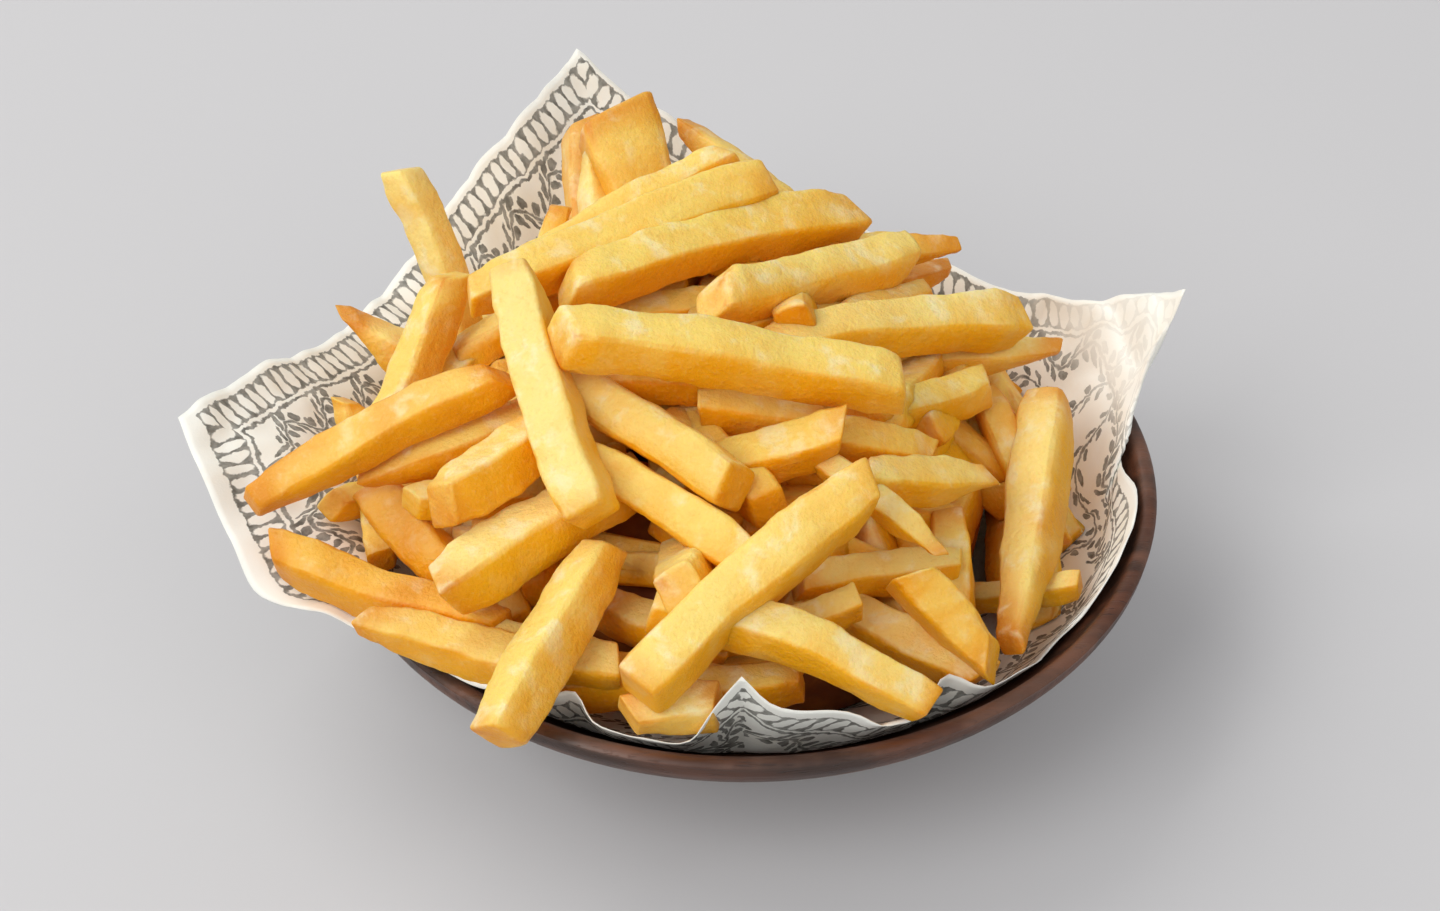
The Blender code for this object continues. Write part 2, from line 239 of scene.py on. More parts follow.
# %% Curve helpers
def smooth_points(points, steps):
    """A Catmull-Rom curve through points, with steps pieces between each pair."""
    points = [Vector(p) for p in points]
    ends = [2 * points[0] - points[1]] + points + [2 * points[-1] - points[-2]]
    curve = []
    for a, b, c, d in zip(ends, ends[1:], ends[2:], ends[3:]):
        for step in range(steps):
            t = step / steps
            curve.append(0.5 * (2 * b + (c - a) * t + (2 * a - 5 * b + 4 * c - d) * t ** 2
                                + (3 * b - a - 3 * c + d) * t ** 3))
    return curve + [points[-1]]


def spread(points, count):
    """The same line with count + 1 points at even distances."""
    lengths = [(b - a).length for a, b in zip(points, points[1:])]
    step = sum(lengths) / count
    even, index, left = [points[0].copy()], 0, 0.0
    for _ in range(count - 1):
        left += step
        while left > lengths[index] and index < len(lengths) - 1:
            left -= lengths[index]
            index += 1
        even.append(points[index].lerp(points[index + 1], min(left / lengths[index], 1.0)))
    return even + [points[-1].copy()]


def interpolate(x, table):
    """The height at x in a table of (x, height) pairs that rises in x."""
    for (x0, y0), (x1, y1) in zip(table, table[1:]):
        if x <= x1:
            return y0 + (y1 - y0) * (x - x0) / (x1 - x0)
    return table[-1][1]


def smoothstep(low, high, value):
    """Nought at low and one at high, with a soft way between."""
    t = min(max((value - low) / (high - low), 0.0), 1.0)
    return t * t * (3 - 2 * t)


# %% [markdown]
# ## Bowl
# The real bowl is turned from one block on a lathe and stained dark. A cylinder could be pulled to shape, but
# a lathe's own way is to draw half the section and turn it round the axis, which the Spin operator does. The
# lip is a small round, and the inside falls in a flatter curve than the outside.

# %% Bowl shape
OUTER_WALL = [(80.0, 40.2), (79.2, 37.0), (76.0, 33.0), (68.0, 26.5), (58.0, 19.0), (48.0, 11.0),
              (40.0, 4.5), (35.5, 0.6)]
INNER_WALL = [(0.0, 6.0), (16.0, 6.4), (30.0, 7.6), (42.0, 13.0), (54.0, 21.5), (66.0, 29.5),
              (74.5, 37.0), (77.0, 40.4)]
FOOT_RADIUS = 35.0
SPIN_STEPS = 144

inner_curve = smooth_points(INNER_WALL, 5)
lip = [Vector((77.5, 40.85)), Vector((78.5, 41.0)), Vector((79.5, 40.8))]
section = inner_curve + lip + smooth_points(OUTER_WALL, 5) + [Vector((FOOT_RADIUS, 0.0))]
section += [Vector((FOOT_RADIUS - 4, 0.0)), Vector((0.0, 0.0))]

outline = bpy.data.curves.new("bowl_section", "CURVE")
outline.dimensions = "3D"
line = outline.splines.new("POLY")
line.points.add(len(section) - 1)
for point, corner in zip(line.points, section):
    point.co = (corner.x * MM, 0, corner.y * MM, 1)
bowl = bpy.data.objects.new("turned_bowl", outline)
bpy.context.scene.collection.objects.link(bowl)
bpy.ops.object.select_all(action="DESELECT")
bowl.select_set(True)
bpy.context.view_layer.objects.active = bowl
bpy.ops.object.convert(target="MESH")
bpy.ops.object.mode_set(mode="EDIT")
bpy.ops.mesh.select_all(action="SELECT")
bpy.ops.mesh.spin(steps=SPIN_STEPS, angle=math.tau, center=(0, 0, 0), axis=(0, 0, 1))
bpy.ops.mesh.select_all(action="SELECT")
bpy.ops.mesh.remove_doubles(threshold=0.00001)
bpy.ops.mesh.normals_make_consistent(inside=False)
bpy.ops.object.mode_set(mode="OBJECT")
bpy.ops.object.shade_smooth_by_angle(angle=math.radians(50))
print("bowl:", len(bowl.data.polygons), "faces")

# %% [markdown]
# ## Wood
# A block's grain runs one way, whatever is cut from it, so the streaks follow the bowl's own X and are read
# from Object coordinates. Long narrow noise makes the fibres, a second the growth bands, and short dark
# dashes the pores. The stain is thin on the lip, where hands rub it.

# %% Bowl finish
bowl_finish, tree, shader = new_material("stained_wood", 0.42)
stretch = add_node(tree, "ShaderNodeMapping")
join(tree, stretch, "Vector", object_place(tree))
join(tree, stretch, "Rotation", (0.0, 0.0, math.radians(12)))
join(tree, stretch, "Scale", (0.07, 1.0, 1.0))
fibres = noise_node(tree, stretch.outputs[0], 900.0, 3.0, 0.6)
bands = noise_node(tree, stretch.outputs[0], 130.0, 2.0, 0.5, 0.6)
pores = step_between(tree, noise_node(tree, stretch.outputs[0], 2200.0, 1.0), 0.62, 0.72)
wood = blend_colours(tree, step_between(tree, bands, 0.36, 0.64), srgb(0x3b2214), srgb(0x6b3e27))
wood = blend_colours(tree, math_node(tree, "MULTIPLY", fibres, 0.55), wood, srgb(0x28150c))
wood = blend_colours(tree, math_node(tree, "MULTIPLY", pores, 0.5), wood, srgb(0x1d110e))
height = add_node(tree, "ShaderNodeSeparateXYZ")
join(tree, height, 0, object_place(tree))
lip_wear = step_between(tree, height.outputs[2], 0.0392, 0.0406)
patches = use_group(tree, cloudy, Scale=60.0, Low=0.42, High=0.62, Vector=object_place(tree))
wear = math_node(tree, "MULTIPLY", lip_wear, math_node(tree, "MULTIPLY", patches.outputs[0], 0.35))
wood = blend_colours(tree, wear, wood, srgb(0x8a6450))
join(tree, shader, "Base Color", wood)
join(tree, shader, "Roughness", math_node(tree, "MULTIPLY_ADD", fibres, 0.22, 0.33))
bump = add_node(tree, "ShaderNodeBump")
join(tree, bump, "Strength", 0.35)
join(tree, bump, "Distance", 0.0003)
join(tree, bump, "Height", math_node(tree, "SUBTRACT", fibres, pores))
join(tree, shader, "Normal", bump.outputs[0])
bowl.data.materials.append(bowl_finish)
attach(bowl, "root")
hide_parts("bowl")

# %% [markdown]
# ## Paper liner
# The liner is a square of thin printed paper, laid over the bowl and pressed down by the fries. Each point of
# the sheet has its way from the middle: out along the bowl's floor, up the wall and, at the corners, on past
# the lip as a standing wing. A flat grid is added at the sheet's size, and each of its points is moved to its
# share of that way. A cloth simulation could drape it, but paper creases where cloth folds, and the edge is
# easier to set by a few places round the bowl.

# %% Where the sheet's edge runs
SHEET_SIDE = 170.0
PAPER_CLEARANCE = 1.05
LIP_PASS_RADIUS = 75.8
LIP_PASS_RISE = 1.6
LIP_OUTER_RADIUS = 81.5
LEAST_GAP = 0.45
# One list a side, from corner to corner: angle round the bowl, distance from the axis, height over the lip.
SHEET_EDGE = [
    [(14, 88, 28), (19, 86, 23), (26, 81, 16), (34, 77.5, 10), (44, 76, 5), (55, 76.5, 3),
     (70, 78, 5), (86, 81, 12), (98, 86, 22), (106, 91, 30), (111, 98, 38)],
    [(111, 98, 38), (120, 91, 31), (130, 90, 20), (143, 88, 9), (153, 87, 8), (163, 88, 11),
     (174, 96, 16), (184, 107, 19)],
    [(184, 107, 19), (191, 103, 14), (198, 100, 9), (204, 98, 4), (208, 92, 2.5), (214, 85, 2.5),
     (222, 81, 2.5), (232, 78, 1.6), (241, 74, 2), (246, 73, 5), (250, 76, 1.6), (257, 76.5, 1.2),
     (263, 76, 1.5), (266, 75, 8), (270, 73, 15)],
    [(270, 73, 15), (275, 75, 9), (284, 76, 7), (289, 77, 3), (295, 76.5, 2), (301, 71, 4),
     (306, 75, 1), (315, 74.5, -1.5), (322, 72.5, -4), (329, 73, -4), (336, 74.5, -1.5),
     (347, 76, 1.5), (356, 76, 1.5), (363, 74, -1), (371, 76.5, 2), (373, 82, 14), (374, 88, 28)],
]
EDGE_STEPS = 72
PATH_STEPS = 160


def wall_rise(radius):
    """Height of the bowl's inner wall over the lip."""
    return interpolate(radius, inner_curve) - rim_height


def sheet_path(side, fraction, end):
    """The paper's way from the bowl's middle up the wall and out to one point of its edge."""
    reach = math.hypot(end.x, end.y)
    first, last = SHEET_EDGE[side][0][0], SHEET_EDGE[side][-1][0]
    wall_angle = math.radians(first + (last - first) * fraction)
    turn = (math.atan2(end.y, end.x) - wall_angle + math.pi) % math.tau - math.pi
    leave = min(70.0 - 0.35 * max(end.z, 0.0), reach - 4.0)
    radii = [r for r in (0.0, 14.0, 28.0, 36.0, 44.0, 52.0, 58.0, 64.0) if r < leave - 3.0] + [leave]
    stops = [(r, wall_rise(r) + PAPER_CLEARANCE, 0.0) for r in radii]
    if reach > LIP_PASS_RADIUS + 1.0:
        stops.append((LIP_PASS_RADIUS, LIP_PASS_RISE + 0.12 * max(end.z, 0.0), 0.6))
    stops.append((reach, end.z, 1.0))
    path = []
    for radius, rise, share in stops:
        angle = wall_angle + turn * share
        path.append(Vector((radius * math.cos(angle), radius * math.sin(angle), rise)))
    return spread(smooth_points(path, 6), PATH_STEPS)


sheet_paths = []
for side, places in enumerate(SHEET_EDGE):
    corners = [Vector((r * math.cos(math.radians(a)), r * math.sin(math.radians(a)), z))
               for a, r, z in places]
    for step, end in enumerate(spread(smooth_points(corners, 8), EDGE_STEPS)[:-1]):
        sheet_paths.append(sheet_path(side, step / EDGE_STEPS, end))
print("the sheet's edge runs along", len(sheet_paths), "ways")


# %% Press the sheet
SHEET_CELLS = 144
PAPER_THICKNESS = 0.16


def perimeter_share(x, y):
    """Where a ray from the sheet's middle meets its edge, counted in sides from the first corner."""
    largest = max(abs(x), abs(y))
    edge_x, edge_y = x / largest, y / largest
    if edge_y >= 1.0 - 1e-6:
        return (1.0 - edge_x) / 2
    if edge_x <= -1.0 + 1e-6:
        return 1 + (1.0 - edge_y) / 2
    if edge_y <= -1.0 + 1e-6:
        return 2 + (1.0 + edge_x) / 2
    return 3 + (1.0 + edge_y) / 2


def press_sheet(x, y):
    """Where a point of the flat sheet lies, in millimetres from the middle of the lip's plane."""
    share = max(abs(x), abs(y)) / (SHEET_SIDE / 2)
    if share < 1e-6:
        return Vector((0.0, 0.0, wall_rise(0.0) + PAPER_CLEARANCE))
    spot = perimeter_share(x, y) * EDGE_STEPS
    low = int(spot) % len(sheet_paths)
    high = (low + 1) % len(sheet_paths)
    step = min(share * PATH_STEPS, PATH_STEPS - 1e-6)
    index = int(step)
    ways = [sheet_paths[k][index].lerp(sheet_paths[k][index + 1], step - index) for k in (low, high)]
    return ways[0].lerp(ways[1], spot - int(spot))


def clear_of_bowl(point):
    """Lift a point of the paper that would touch the bowl's wall or its lip."""
    radius = math.hypot(point.x, point.y)
    if radius < LIP_PASS_RADIUS:
        floor_rise = wall_rise(radius) + LEAST_GAP
    elif radius < LIP_OUTER_RADIUS:
        floor_rise = LEAST_GAP
    else:
        return point
    return Vector((point.x, point.y, max(point.z, floor_rise)))


bpy.ops.object.select_all(action="DESELECT")
bpy.ops.mesh.primitive_grid_add(x_subdivisions=SHEET_CELLS, y_subdivisions=SHEET_CELLS,
                                size=SHEET_SIDE * MM, calc_uvs=True)
paper = bpy.context.object
paper.name = "printed_paper"
light_washout = paper.data.attributes.new("light_washout", "FLOAT", "POINT")
for vertex in paper.data.vertices:
    flat = vertex.co / MM
    place = press_sheet(flat.x, flat.y)
    free = smoothstep(70, 84, math.hypot(place.x, place.y))
    crease = abs(noise.noise(Vector((flat.x, flat.y, 0.0)) / 13.0))
    fine = noise.noise(Vector((flat.y, flat.x, 7.0)) / 4.5)
    crumpled = smoothstep(45, 70, place.x) * free
    place.z += (crease - 0.12) * (0.6 + 2.2 * free + 3.0 * crumpled) + fine * (0.15 + 0.25 * free)
    place = clear_of_bowl(place)
    vertex.co = (place + Vector((0, 0, rim_height))) * MM
    # Painted light: on the right-hand wing, above the lip, the ink is drawn fainter where light washes it
    # out.
    light_washout.data[vertex.index].value = smoothstep(52, 68, place.x) * smoothstep(-3, 8, place.z)
solid = paper.modifiers.new("thickness", "SOLIDIFY")
solid.thickness = PAPER_THICKNESS * MM
solid.offset = 1.0
bpy.ops.object.modifier_apply(modifier="thickness")
bpy.ops.object.shade_smooth()
print("paper:", len(paper.data.polygons), "faces")

# %% [markdown]
# ## Print
# Liners like this are printed in one dark ink with a border and a leafy field. The pattern is worked out on
# the flat sheet, in millimetres from its edge, so the UV map that the grid came with carries it over every
# fold. The border is a row of pale ovals left out of a band of ink, with a thin rule inside it. Within that
# three vines run in waves, each with a leaf on both sides of its stem. A little noise in the place and the
# strength of the ink makes it look printed on soft paper, and the print sits slightly off the sheet's middle.

# %% The ornament group
ornament, ornament_in, ornament_out = new_group(
    "ornament", [("UV", "NodeSocketVector", None), ("Side", "NodeSocketFloat", SHEET_SIDE)],
    [("Ink", "NodeSocketFloat")])


def calc(operation, *values):
    """A Math node's output in this group."""
    return math_node(ornament, operation, *values)


def within(value, centre, half, soft=0.12):
    """One where value is less than half away from centre."""
    away = calc("ABSOLUTE", calc("SUBTRACT", value, centre))
    return calc("SUBTRACT", 1.0, step_between(ornament, away, half - soft, half + soft))


def oval(along, across, half_along, half_across):
    """One inside an oval round the origin."""
    size = calc("ADD", calc("POWER", calc("DIVIDE", along, half_along), 2.0),
                calc("POWER", calc("DIVIDE", across, half_across), 2.0))
    return calc("SUBTRACT", 1.0, step_between(ornament, size, 0.8, 1.2))


wobble = add_node(ornament, "ShaderNodeTexNoise")
join(ornament, wobble, "Vector", ornament_in.outputs["UV"])
join(ornament, wobble, "Scale", 85.0)
join(ornament, wobble, "Detail", 4.0)
shifted = add_node(ornament, "ShaderNodeVectorMath", operation="MULTIPLY_ADD")
join(ornament, shifted, 0, wobble.outputs["Color"])
join(ornament, shifted, 1, (0.012, 0.012, 0.0))
join(ornament, shifted, 2, ornament_in.outputs["UV"])
flat_place = add_node(ornament, "ShaderNodeSeparateXYZ")
join(ornament, flat_place, 0, shifted.outputs[0])
half_side = calc("MULTIPLY", ornament_in.outputs["Side"], 0.5)
sheet_x = calc("MULTIPLY", calc("SUBTRACT", flat_place.outputs[0], 0.502), ornament_in.outputs["Side"])
sheet_y = calc("MULTIPLY", calc("SUBTRACT", flat_place.outputs[1], 0.513), ornament_in.outputs["Side"])
away_x, away_y = calc("ABSOLUTE", sheet_x), calc("ABSOLUTE", sheet_y)
from_edge = calc("SUBTRACT", half_side, calc("MAXIMUM", away_x, away_y))
upright = calc("GREATER_THAN", away_x, away_y)
run = calc("ADD", calc("MULTIPLY", upright, sheet_y),
           calc("MULTIPLY", calc("SUBTRACT", 1.0, upright), sheet_x))

OVAL_PITCH = 3.3
BAND_PLACE = 5.0
BAND_HALF = 2.7
RULE_PLACE = 8.8
beat = calc("SUBTRACT", calc("FLOORED_MODULO", run, OVAL_PITCH), OVAL_PITCH / 2)
ovals = oval(beat, calc("SUBTRACT", from_edge, BAND_PLACE), 1.3, 2.4)
band = calc("MULTIPLY", within(from_edge, BAND_PLACE, BAND_HALF), calc("SUBTRACT", 1.0, ovals))
rule = within(from_edge, RULE_PLACE, 0.35)


def vine(centre, wave, swing, stem, leaf, pitch, tilt):
    """A waving stem along the border with a slanted leaf on each side of it."""
    middle = calc("MULTIPLY_ADD", calc("SINE", calc("MULTIPLY", run, math.tau / wave)), swing, centre)
    stalk = within(from_edge, middle, stem, 0.2)
    step = calc("SUBTRACT", calc("FLOORED_MODULO", run, pitch), pitch / 2)
    off = calc("SUBTRACT", calc("ABSOLUTE", calc("SUBTRACT", from_edge, middle)), leaf * 1.1)
    along = calc("ADD", calc("MULTIPLY", step, math.cos(tilt)), calc("MULTIPLY", off, math.sin(tilt)))
    across = calc("SUBTRACT", calc("MULTIPLY", off, math.cos(tilt)), calc("MULTIPLY", step, math.sin(tilt)))
    return calc("MAXIMUM", stalk, oval(along, across, leaf, leaf * 0.48))


thick_vine = vine(centre=13.6, wave=15.0, swing=2.2, stem=0.42, leaf=1.6, pitch=2.7, tilt=0.8)
light_vine = vine(centre=22.0, wave=23.0, swing=3.4, stem=0.32, leaf=1.3, pitch=3.5, tilt=-0.7)
inner_vine = vine(centre=38.0, wave=34.0, swing=4.6, stem=0.4, leaf=1.9, pitch=5.7, tilt=0.6)
field = calc("MAXIMUM", calc("MAXIMUM", thick_vine, light_vine), inner_vine)
border = calc("MAXIMUM", band, rule)
wear_noise = noise_node(ornament, ornament_in.outputs["UV"], 70.0, 3.0, 0.6)
print_strength = calc("MULTIPLY_ADD", wear_noise, 0.9, 0.38)
join(ornament, ornament_out, "Ink",
     calc("MINIMUM", calc("MULTIPLY", calc("MAXIMUM", border, field), print_strength), 1.0))
print("ornament has", len(ornament.nodes), "nodes")

# %% Paper finish
paper_finish, tree, shader = new_material("liner_paper", 0.72)
paper_uv = add_node(tree, "ShaderNodeTexCoord").outputs["UV"]
print_on = use_group(tree, ornament, UV=paper_uv)
grease = use_group(tree, cloudy, Scale=16.0, Low=0.5, High=0.68, Vector=paper_uv)
ground = blend_colours(tree, math_node(tree, "MULTIPLY", grease.outputs[0], 0.35),
                       srgb(0xfdfef5), srgb(0xf6f0df))
# The print is drawn fainter on the right-hand wing, a painted light where light washes the paper out.
light_washout = add_node(tree, "ShaderNodeAttribute", attribute_name="light_washout")
kept = math_node(tree, "MULTIPLY_ADD", light_washout.outputs["Fac"], -0.78, 0.92)
ink = srgb(0x45443a)
ink_share = math_node(tree, "MULTIPLY", print_on.outputs[0], kept)
join(tree, shader, "Base Color", blend_colours(tree, ink_share, ground, ink))
pulp = noise_node(tree, paper_uv, 420.0, 3.0, 0.6)
bump = add_node(tree, "ShaderNodeBump")
join(tree, bump, "Strength", 0.25)
join(tree, bump, "Distance", 0.0002)
join(tree, bump, "Height", pulp)
join(tree, shader, "Normal", bump.outputs[0])
paper.data.materials.append(paper_finish)
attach(paper, "root")
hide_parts("paper_liner")

# %% [markdown]
# ## Where the fries lie
# Every fry that shows is laid one by one: its tail and tip in millimetres from the middle of the lip's plane,
# its thickness and its roll. Dropping bars with a rigid body simulation would also give a heap, but not this
# one. Behind and below them more are drawn with a fixed seed, each tried until it lies clear.

# %% Fries laid one by one
FRIES = [
    # the crown of the heap
    ((-42, -4, 50), (-27, -48, 30), 10.0, 30),
    ((-33, -21, 50), (29, -19, 37), 10.5, 10),
    ((-51, 0, 42), (4, 34, 45), 9.5, 20),
    ((-47, 11, 37), (-3, 40, 47), 8.0, 20),
    ((-33, 0, 44), (21, 37, 35), 10.0, 20),
    ((-6, -2, 43), (31, 29, 31), 9.5, 20),
    ((-1, 0, 34), (27, 30, 21), 8.0, 15),
    ((-30, 7, 32), (2, 12, 33), 8.0, 10),
    ((4, -6, 34), (53, 22, 20), 10.0, 15),
    ((17, 10, 21), (62, 26, 10), 8.0, 15),
    ((18, 9, 30), (36, 29, 22), 8.0, 15),
    # the back
    ((-11, 19, 24), (-26, 52, 48), 11.0, 10),
    ((-31, 30, 14), (-33, 61, 40), 9.0, 10),
    ((-27, 17, 26), (-31, 47, 43), 7.0, 30),
    ((-45, 9, 24), (-35, 27, 44), 6.0, 30),
    ((17, 30, 30), (-13, 64, 36), 8.0, 20),
    ((-1, 30, 28), (42, 43, 23), 8.0, 15),
    ((5, 29, 20), (41, 44, 16), 8.0, 10),
    # the left
    ((-52, 15, 1), (-67, 39, 44), 8.5, 20),
    ((-56, 18, 34), (-69, -8, 10), 9.5, 25),
    ((-40, 9, 4), (-78, 16, 24), 9.0, 10),
    ((-90, -30, 17), (-44, -18, 38), 10.5, 15),
    ((-69, -24, 18), (-34, -17, 29), 9.0, 10),
    ((-36, -26, 33), (-54, -42, 27), 10.0, 20),
    ((-70, -14, 9), (-67, -31, 4), 8.0, 10),
    ((-70, -19, 12), (-52, -40, 6), 10.0, 35),
    ((-61, -31, 18), (-38, -25, 16), 7.0, 10),
    ((-77, -22, 10), (-60, -8, 5), 7.0, 10),
    ((-72, -6, 6), (-76, 1, 17), 6.0, 10),
    ((-86, -36, 11), (-43, -52, 7), 10.0, 10),
    # the front
    ((-19, -28, 22), (-53, -54, 17), 11.0, 10),
    ((-68, -53, 9), (-35, -61, 5), 9.0, 10),
    ((-25, -45, 21), (-43, -79, 6), 10.5, 30),
    ((-36, -14, 37), (-1, -41, 31), 10.0, 40),
    ((-28, -32, 30), (-1, -51, 23), 9.5, 40),
    ((-26, -15, 34), (-2, -14, 33), 8.0, 10),
    ((-21, 9, 23), (5, -39, 24), 10.0, 20),
    ((-8, -18, 31), (14, -17, 27), 9.0, 15),
    ((-8, -30, 24), (18, -28, 34), 10.0, 15),
    ((-9, -41, 14), (-11, -61, 24), 11.5, 30),
    ((-18, -75, 13), (22, -43, 33), 10.5, 20),
    ((-26, -44, 5), (-3, -54, 4), 9.0, 10),
    ((-48, -53, 5), (-22, -59, 4), 9.0, 10),
    ((-20, -73, 5), (-4, -70, 5), 9.0, 20),
    ((-16, -56, 16), (33, -72, 7), 10.5, 15),
    ((-13, -63, 2), (11, -60, 1), 8.0, 10),
    # the right
    ((12, -23, 30), (35, -19, 20), 9.0, 20),
    ((22, -33, 26), (45, -22, 17), 8.5, 20),
    ((14, -29, 28), (35, -45, 18), 6.0, 20),
    ((21, -15, 26), (47, 6, 17), 9.5, 15),
    ((47, 11, 11), (60, -17, -2), 8.0, 15),
    ((59, 7, 12), (50, -50, 0), 11.0, 30),
    ((30, -49, 17), (45, -59, 6), 11.0, 30),
    ((10, -43, 10), (40, -36, 8), 9.0, 15),
    ((-4, -55, 7), (21, -50, 12), 8.0, 15),
    ((3, -34, 5), (44, -57, 0), 9.5, 15),
    ((47, 15, 3), (38, -21, -1), 10.0, 10),
    ((38, -24, 9), (39, -50, -4), 9.0, 10),
    ((40, -26, -10), (63, -32, 0), 6.0, 10),
]
print(len(FRIES), "fries are laid by hand")

# %% The mound under them
MOUND_PEAK = Vector((-11.0, 8.0, 35.0))
MOUND_CENTRE = Vector((-3.0, 1.5))
MOUND_RADIUS = 64.0
MOUND_EDGE_RISE = -4.0
MOUND_EDGE_SLOPE = -0.10
MOUND_POWER = 1.5


def mound_edge(angle, radius=MOUND_RADIUS):
    """Distance from the mound's peak to its edge, in one direction over the bowl."""
    ray = Vector((math.cos(angle), math.sin(angle)))
    offset = MOUND_PEAK.to_2d() - MOUND_CENTRE
    across = offset.dot(ray)
    return -across + math.sqrt(across ** 2 + radius ** 2 - offset.length_squared)


def mound_height(x, y):
    """Height of the mound over the lip."""
    offset = Vector((x, y)) - MOUND_PEAK.to_2d()
    share = offset.length / mound_edge(math.atan2(offset.y, offset.x))
    low = MOUND_EDGE_RISE + MOUND_EDGE_SLOPE * x
    return low + (MOUND_PEAK.z - low) * (1 - min(share, 1.0) ** MOUND_POWER)


# %% More fries behind and below
DRAWN_REACH = 66.0


def gap_between(first, second):
    """Least distance between the middle lines of two fries, measured at points along both."""
    shares = [step / 4 for step in range(5)]
    ones = [Vector(first[0]).lerp(Vector(first[1]), s) for s in shares]
    others = [Vector(second[0]).lerp(Vector(second[1]), s) for s in shares]
    return min((a - b).length for a in ones for b in others)


def draw_fries(laid, seed, tries, angles, lift, spacing, reach_range, widths):
    """Fries on the mound at seeded places, kept where they lie clear of those laid before."""
    draw = random.Random(seed)
    laid = list(laid)
    before = len(laid)
    for _ in range(tries):
        angle = math.radians(draw.uniform(*angles))
        reach = draw.uniform(*reach_range) * mound_edge(angle)
        middle = MOUND_PEAK.to_2d() + reach * Vector((math.cos(angle), math.sin(angle)))
        heading = angle + math.radians(draw.uniform(20, 160))
        half = draw.uniform(34, 56) / 2 * Vector((math.cos(heading), math.sin(heading)))
        width = draw.uniform(*widths)
        ends = (middle - half, middle + half)
        tilt = (mound_height(*ends[1]) - mound_height(*ends[0])) / 2
        rise = mound_height(*middle) + lift * width
        fry = (Vector((*ends[0], rise - tilt)), Vector((*ends[1], rise + tilt)), width,
               draw.uniform(0, 90))
        inside = all(end.length < DRAWN_REACH for end in ends)
        if inside and all(gap_between(fry, other) > spacing * width for other in laid):
            laid.append(fry)
    return laid[before:]


back = draw_fries(FRIES, seed=11, tries=1200, angles=(0, 170), lift=0.35, spacing=0.55,
                  reach_range=(0.4, 0.95), widths=(8.5, 10.5))
back += draw_fries(FRIES + back, seed=23, tries=900, angles=(95, 155), lift=0.0, spacing=0.5,
                   reach_range=(0.6, 1.0), widths=(8.5, 10.0))
below = draw_fries(FRIES + back, seed=5, tries=1500, angles=(0, 360), lift=-0.55, spacing=0.42,
                   reach_range=(0.1, 0.98), widths=(8.0, 10.5))
below += draw_fries(FRIES + back + below, seed=31, tries=1500, angles=(130, 225), lift=-0.35, spacing=0.34,
                    reach_range=(0.55, 0.98), widths=(7.5, 9.0))
print(len(back), "more behind and", len(below), "below")

# %% [markdown]
# ## One fry
# A fry is a square bar cut from a potato: flat faces that dried a little hollow, rounded edges, ends cut
# slightly askew, a small bow, and here and there a blister. One bar is modelled from a cube with Bevel and
# Bisect, so it has rings enough to bend, and each fry is a copy that is stretched, tapered, bowed and
# roughened in its own way. Where it would sink into the paper it is pressed flat. For the colour each point
# also keeps how toasted it is, with painted shade added the deeper it lies in the heap, and how much painted
# light it gets for facing the key light. Each fry keeps its own tint.

# %% Model one bar
BAR_HALF = 3.0
BAR_BEVEL = 0.11
# Faces turned toward this side, where the key light is, are drawn paler: a painted light.
LIT_SIDE = Vector((-0.42, 0.18, 0.88)).normalized()


def model_bar(name, bevel_steps, face_cuts, rings):
    """A square bar one unit thick and six long, with rounded edges and its rings closer at the ends."""
    bpy.ops.object.select_all(action="DESELECT")
    bpy.ops.mesh.primitive_cube_add(size=1.0)
    bar = bpy.context.object
    bar.name = name
    bar.scale.z = 2 * BAR_HALF
    bpy.ops.object.transform_apply(location=False, rotation=False, scale=True)
    bpy.ops.object.mode_set(mode="EDIT")
    bpy.ops.mesh.select_all(action="SELECT")
    bpy.ops.mesh.bevel(offset=BAR_BEVEL, segments=bevel_steps, profile=0.5)
    shares = [(k + 1) / (face_cuts + 1) * 2 - 1 for k in range(face_cuts)]
    cuts = [(axis, share * (0.5 - BAR_BEVEL)) for axis in "xy" for share in shares]
    for k in range(rings):
        share = (k + 1) / (rings + 1) * 2 - 1
        ease = 0.6 * share + 0.4 * math.sin(share * math.pi / 2)
        cuts.append(("z", ease * (BAR_HALF - BAR_BEVEL)))
    for axis, place in cuts:
        normal = Vector((axis == "x", axis == "y", axis == "z"))
        bpy.ops.mesh.select_all(action="SELECT")
        bpy.ops.mesh.bisect(plane_co=normal * place, plane_no=normal)
    bpy.ops.object.mode_set(mode="OBJECT")
    print(name, "has", len(bar.data.vertices), "points")
    return bar


fine_bar = model_bar("fine_bar", 3, 2, 34)
plain_bar = model_bar("plain_bar", 2, 1, 14)


# %% Shape each fry
FRY_REST = 1.7
FRY_SEED = 900
FIRST_BELOW = 200


def rounded_square(x, y, power):
    """The share by which a square's point moves in on a rounded one: less power, rounder corners."""
    largest = max(abs(x), abs(y))
    if largest < 1e-6:
        return 1.0
    return ((abs(x) / largest) ** power + (abs(y) / largest) ** power) ** (-1 / power)


def paper_floor(radius):
    """Least height over the foot for a fry that rests on the paper, at a distance from the axis."""
    return rim_height + wall_rise(min(radius, LIP_PASS_RADIUS)) + FRY_REST


